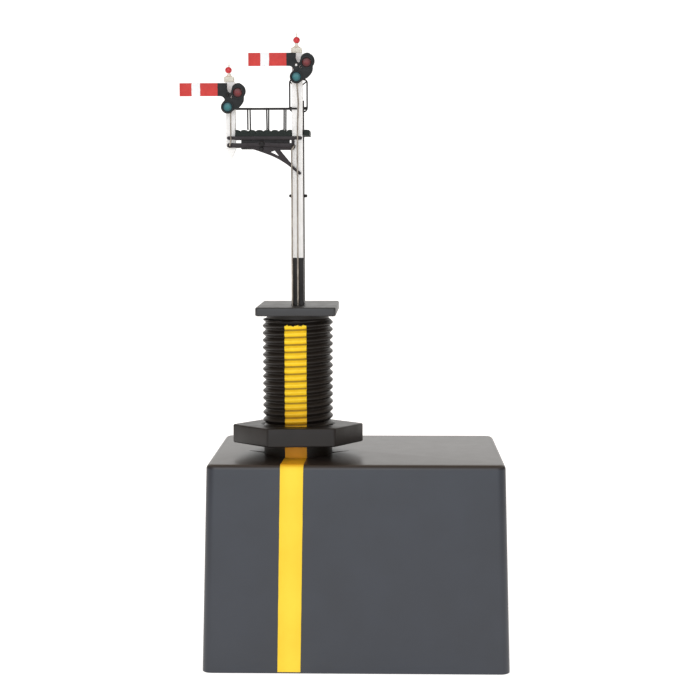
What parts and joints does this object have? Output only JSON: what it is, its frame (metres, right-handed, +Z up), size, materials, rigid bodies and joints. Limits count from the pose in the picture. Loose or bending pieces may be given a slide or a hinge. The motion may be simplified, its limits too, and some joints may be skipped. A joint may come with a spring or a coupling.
{
  "type": "model signal mast",
  "caption": "Bracket signal mast with two semaphore arms, landing, ladder and rods, on a threaded mounting barrel with a clamp nut and a box that holds the arm drives.",
  "frame": {"origin": "where the threaded barrel's axis meets the plane that the casing stands on", "axes": "+X to the right as the arms are faced, towards the casing's long end; +Y away from the side the arms face; +Z up along the mast"},
  "size_m": [0.0655, 0.0416, 0.1261],
  "materials": {
    "black_plastic": "satin moulded black",
    "nut_plastic": "satin moulded black",
    "barrel_plastic": "moulded black, slightly shiny",
    "yellow_film": "thin self-coloured film",
    "white_paint": "matt white",
    "black_paint": "matt black",
    "deck_paint": "matt dark grey",
    "red_paint": "signal red with a white stripe",
    "cream_paint": "cream with a red ball",
    "red_lens": "clear red glaze",
    "green_lens": "clear blue-green glaze",
    "wire_metal": "nickelled wire",
    "steel": "plated",
    "can_metal": "plain can",
    "white_nylon": "natural nylon",
    "board_green": "solder resist",
    "grommet_rubber": "matt"
  },
  "bodies": {
    "frame": {"casing": "black_plastic", "bottom_cover": "black_plastic", "cover_screw_1": "steel", "cover_screw_2": "steel", "cover_screw_3": "steel", "cover_screw_4": "steel", "cable_grommet": "grommet_rubber", "casing_stripe": "yellow_film", "threaded_barrel": "barrel_plastic", "top_plate": "black_plastic", "drive_chassis": "black_plastic", "gearmotor_main": "can_metal", "gearmotor_branch": "can_metal", "rod_guide": "white_nylon", "circuit_board": "board_green", "limit_switch_main": "black_plastic", "limit_switch_branch": "black_plastic", "capacitor_1": "can_metal", "capacitor_2": "can_metal", "control_chip": "black_plastic", "mast_foot": "black_paint", "mast": "white_paint", "ladder": "black_paint", "ladder_stay": "black_paint", "guard_hoop": "black_paint", "bracket_front": "black_paint", "bracket_rear": "black_paint", "bracket_spacer": "black_paint", "landing_deck": "deck_paint", "handrail_front": "black_paint", "handrail_rear": "black_paint", "doll": "white_paint", "mast_finial": "cream_paint", "doll_finial": "cream_paint", "main_arm_pivot": "steel", "doll_arm_pivot": "steel", "rocker_pivot": "black_paint", "bracket_rivet": "black_paint"},
    "clamp_nut": {"clamp_nut": "nut_plastic"},
    "cam_main": {"drive_cam_main": "white_nylon", "motor_shaft_main": "steel"},
    "cam_branch": {"drive_cam_branch": "white_nylon", "motor_shaft_branch": "steel"},
    "main_rod": {"lifter_main": "white_nylon", "main_rod": "wire_metal"},
    "branch_rod": {"lifter_branch": "white_nylon", "branch_rod": "wire_metal"},
    "doll_rod": {"doll_rod": "wire_metal"},
    "rocker": {"rocker": "black_paint"},
    "main_arm": {"main_arm": "red_paint", "main_lens_red": "red_lens", "main_lens_green": "green_lens"},
    "doll_arm": {"doll_arm": "red_paint", "doll_lens_red": "red_lens", "doll_lens_green": "green_lens"}
  },
  "joints": [
    {"name": "nut_slide", "type": "slide", "parent": "frame", "child": "clamp_nut", "axis": [0, 0, 1], "range_m": [-0.0014, 0.0215]},
    {"name": "cam_main_turn", "type": "hinge", "parent": "frame", "child": "cam_main", "pos_m": [0.0017, -0.0075, 0.02], "axis": [1, 0, 0], "range_deg": [0, 180]},
    {"name": "cam_branch_turn", "type": "hinge", "parent": "frame", "child": "cam_branch", "pos_m": [0.0017, 0.0075, 0.02], "axis": [1, 0, 0], "range_deg": [0, 180]},
    {"name": "main_rod_lift", "type": "slide", "parent": "frame", "child": "main_rod", "axis": [0, 0, 1], "range_m": [0, 0.0007456]},
    {"name": "main_arm_swing", "type": "hinge", "parent": "frame", "child": "main_arm", "pos_m": [0.00012, -0.00275, 0.11938], "axis": [0, -1, 0], "range_deg": [0, 45]},
    {"name": "branch_rod_pull", "type": "slide", "parent": "frame", "child": "branch_rod", "axis": [0, 0, -1], "range_m": [0, 0.0007456]},
    {"name": "rocker_tip", "type": "hinge", "parent": "frame", "child": "rocker", "pos_m": [-0.00692, -0.00185, 0.10395], "axis": [0, 1, 0], "range_deg": [0, 6.74]},
    {"name": "doll_rod_lift", "type": "slide", "parent": "frame", "child": "doll_rod", "axis": [0, 0, 1], "range_m": [0, 0.0007456]},
    {"name": "doll_arm_swing", "type": "hinge", "parent": "frame", "child": "doll_arm", "pos_m": [-0.0136, -0.00275, 0.1135], "axis": [0, -1, 0], "range_deg": [0, 45]}
  ],
  "couplings": [
    {"joint": "cam_main_turn", "follows": "main_rod_lift", "rad_per_m": 4213.5},
    {"joint": "main_arm_swing", "follows": "main_rod_lift", "rad_per_m": 1053.4},
    {"joint": "cam_branch_turn", "follows": "branch_rod_pull", "rad_per_m": 4213.5},
    {"joint": "doll_rod_lift", "follows": "branch_rod_pull", "ratio": 1},
    {"joint": "rocker_tip", "follows": "branch_rod_pull", "rad_per_m": 157.32},
    {"joint": "doll_arm_swing", "follows": "branch_rod_pull", "rad_per_m": 1053.4}
  ]
}
